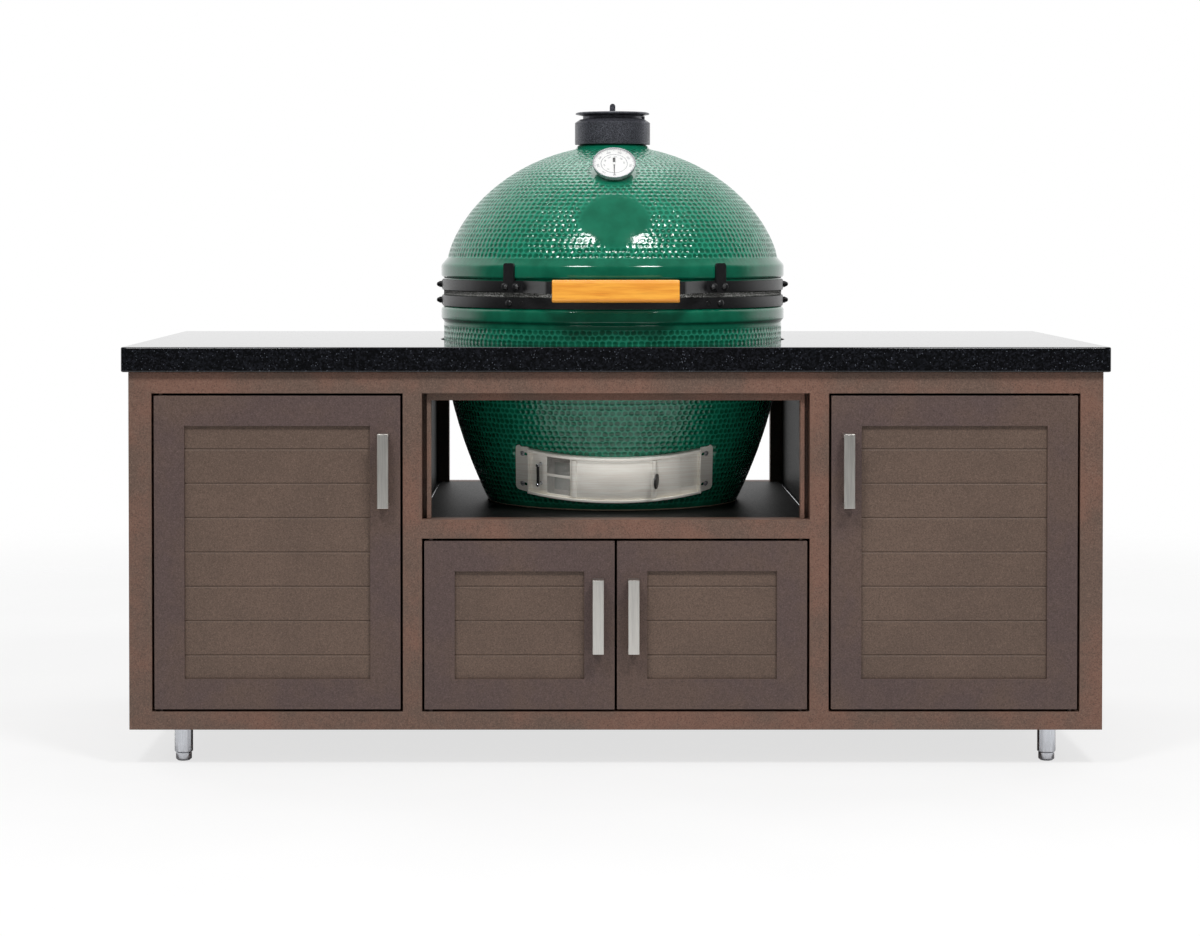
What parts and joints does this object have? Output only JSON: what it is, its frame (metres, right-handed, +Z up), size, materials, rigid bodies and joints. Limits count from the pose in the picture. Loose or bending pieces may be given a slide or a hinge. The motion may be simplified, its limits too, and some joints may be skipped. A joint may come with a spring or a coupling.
{
  "type": "kamado grill table",
  "caption": "Outdoor cabinet on levelling feet with a stone countertop, hinged storage doors, and a ceramic kamado cooker standing in its open middle bay.",
  "frame": {"origin": "floor level under the middle of the table, half way between the door pulls and the countertop's back edge", "axes": "+X to the right along the counter as seen from the front, +Y to the back, +Z up; the doors and the thermometer face -Y"},
  "size_m": [1.854, 0.857, 1.265],
  "materials": {
    "granite": "polished black granite with fine pale flecks",
    "bronze_frame": "textured bronze powder coat",
    "bronze_door": "textured bronze powder coat, a little darker than the frame",
    "black_sheet": "satin black powder coat",
    "stainless": "brushed stainless steel",
    "green_glaze": "glossy dark green glaze with a pattern of small dimples",
    "black_band": "satin black powder coat on steel",
    "cast_iron": "rough dark cast iron",
    "grey_felt": "pressed grey felt",
    "varnished_wood": "orange varnished hardwood",
    "black_paint": "black paint on thin steel",
    "clear_glass": "clear flat glass",
    "fired_clay": "unglazed fired clay",
    "bright_steel": "bright steel wire and rod"
  },
  "bodies": {
    "cabinet": {"countertop": "granite", "front_face_frame": "bronze_frame", "rear_face_frame": "bronze_frame", "left_end_panel": "bronze_frame", "right_end_panel": "bronze_frame", "left_bay_wall": "black_sheet", "right_bay_wall": "black_sheet", "grill_shelf": "black_sheet", "cabinet_floor": "bronze_frame", "front_niche_trim": "bronze_frame", "rear_niche_trim": "bronze_frame", "rear_left_panel": "bronze_door", "rear_right_panel": "bronze_door", "rear_center_panel": "bronze_door", "front_left_leg_sleeve": "stainless", "front_right_leg_sleeve": "stainless", "rear_left_leg_sleeve": "stainless", "rear_right_leg_sleeve": "stainless", "base_shell": "green_glaze", "base_gasket": "grey_felt", "lower_band": "black_band", "lower_hinge_bracket": "black_band", "left_hinge_spring": "bright_steel", "right_hinge_spring": "bright_steel", "draft_frame": "stainless", "fire_box": "fired_clay", "fire_ring": "fired_clay", "fire_grate": "cast_iron", "cooking_grid": "bright_steel"},
    "left_door": {"left_door_frame": "bronze_door", "left_door_boards": "bronze_door", "left_door_pull": "stainless"},
    "right_door": {"right_door_frame": "bronze_door", "right_door_boards": "bronze_door", "right_door_pull": "stainless"},
    "lower_left_door": {"lower_left_door_frame": "bronze_door", "lower_left_door_boards": "bronze_door", "lower_left_door_pull": "stainless"},
    "lower_right_door": {"lower_right_door_frame": "bronze_door", "lower_right_door_boards": "bronze_door", "lower_right_door_pull": "stainless"},
    "dome": {"dome_shell": "green_glaze", "dome_gasket": "grey_felt", "upper_band": "black_band", "upper_hinge_bracket": "black_band", "left_handle_arm": "black_band", "right_handle_arm": "black_band", "handle_grip": "varnished_wood", "thermometer_body": "stainless", "thermometer_lens": "clear_glass", "cap_collar": "cast_iron"},
    "needle": {"thermometer_needle": "black_paint"},
    "cap_lid": {"cap_lid": "cast_iron"},
    "cap_damper": {"cap_damper": "cast_iron"},
    "draft_screen": {"draft_screen": "stainless"},
    "draft_door": {"draft_door": "stainless"},
    "front_left_foot": {"front_left_foot": "stainless"},
    "front_right_foot": {"front_right_foot": "stainless"},
    "rear_left_foot": {"rear_left_foot": "stainless"},
    "rear_right_foot": {"rear_right_foot": "stainless"}
  },
  "joints": [
    {"name": "left_door_swing", "type": "hinge", "parent": "cabinet", "child": "left_door", "pos_m": [-0.855, -0.3865, 0.4], "axis": [0, 0, -1], "range_deg": [0, 105]},
    {"name": "right_door_swing", "type": "hinge", "parent": "cabinet", "child": "right_door", "pos_m": [0.855, -0.3865, 0.4], "axis": [0, 0, 1], "range_deg": [0, 105]},
    {"name": "lower_left_door_swing", "type": "hinge", "parent": "cabinet", "child": "lower_left_door", "pos_m": [-0.3475, -0.3865, 0.27], "axis": [0, 0, -1], "range_deg": [0, 90]},
    {"name": "lower_right_door_swing", "type": "hinge", "parent": "cabinet", "child": "lower_right_door", "pos_m": [0.3475, -0.3865, 0.27], "axis": [0, 0, 1], "range_deg": [0, 90]},
    {"name": "dome_lift", "type": "hinge", "parent": "cabinet", "child": "dome", "pos_m": [0, 0.3955, 0.886], "axis": [-1, 0, 0], "range_deg": [0, 70]},
    {"name": "needle_sweep", "type": "hinge", "parent": "dome", "child": "needle", "pos_m": [0, -0.2015, 1.1415], "axis": [0, 0.7132, -0.7009], "range_deg": [0, 300]},
    {"name": "cap_lid_swing", "type": "hinge", "parent": "dome", "child": "cap_lid", "pos_m": [0.0585, 0.0095, 1.237], "axis": [0, 0, -1], "range_deg": [0, 100]},
    {"name": "cap_damper_turn", "type": "hinge", "parent": "cap_lid", "child": "cap_damper", "pos_m": [0, 0.0095, 1.24], "axis": [0, 0, 1], "range_deg": [0, 36]},
    {"name": "draft_screen_slide", "type": "hinge", "parent": "cabinet", "child": "draft_screen", "pos_m": [0, -0.0015, 0.6083], "axis": [0, -0.2756, 0.9613], "range_deg": [0, 6]},
    {"name": "draft_door_slide", "type": "hinge", "parent": "cabinet", "child": "draft_door", "pos_m": [0, -0.0015, 0.6083], "axis": [0, -0.2756, 0.9613], "range_deg": [-4, 15]},
    {"name": "front_left_foot_height", "type": "slide", "parent": "cabinet", "child": "front_left_foot", "axis": [0, 0, -1], "range_m": [0, 0.025]},
    {"name": "front_right_foot_height", "type": "slide", "parent": "cabinet", "child": "front_right_foot", "axis": [0, 0, -1], "range_m": [0, 0.025]},
    {"name": "rear_left_foot_height", "type": "slide", "parent": "cabinet", "child": "rear_left_foot", "axis": [0, 0, -1], "range_m": [0, 0.025]},
    {"name": "rear_right_foot_height", "type": "slide", "parent": "cabinet", "child": "rear_right_foot", "axis": [0, 0, -1], "range_m": [0, 0.025]}
  ]
}
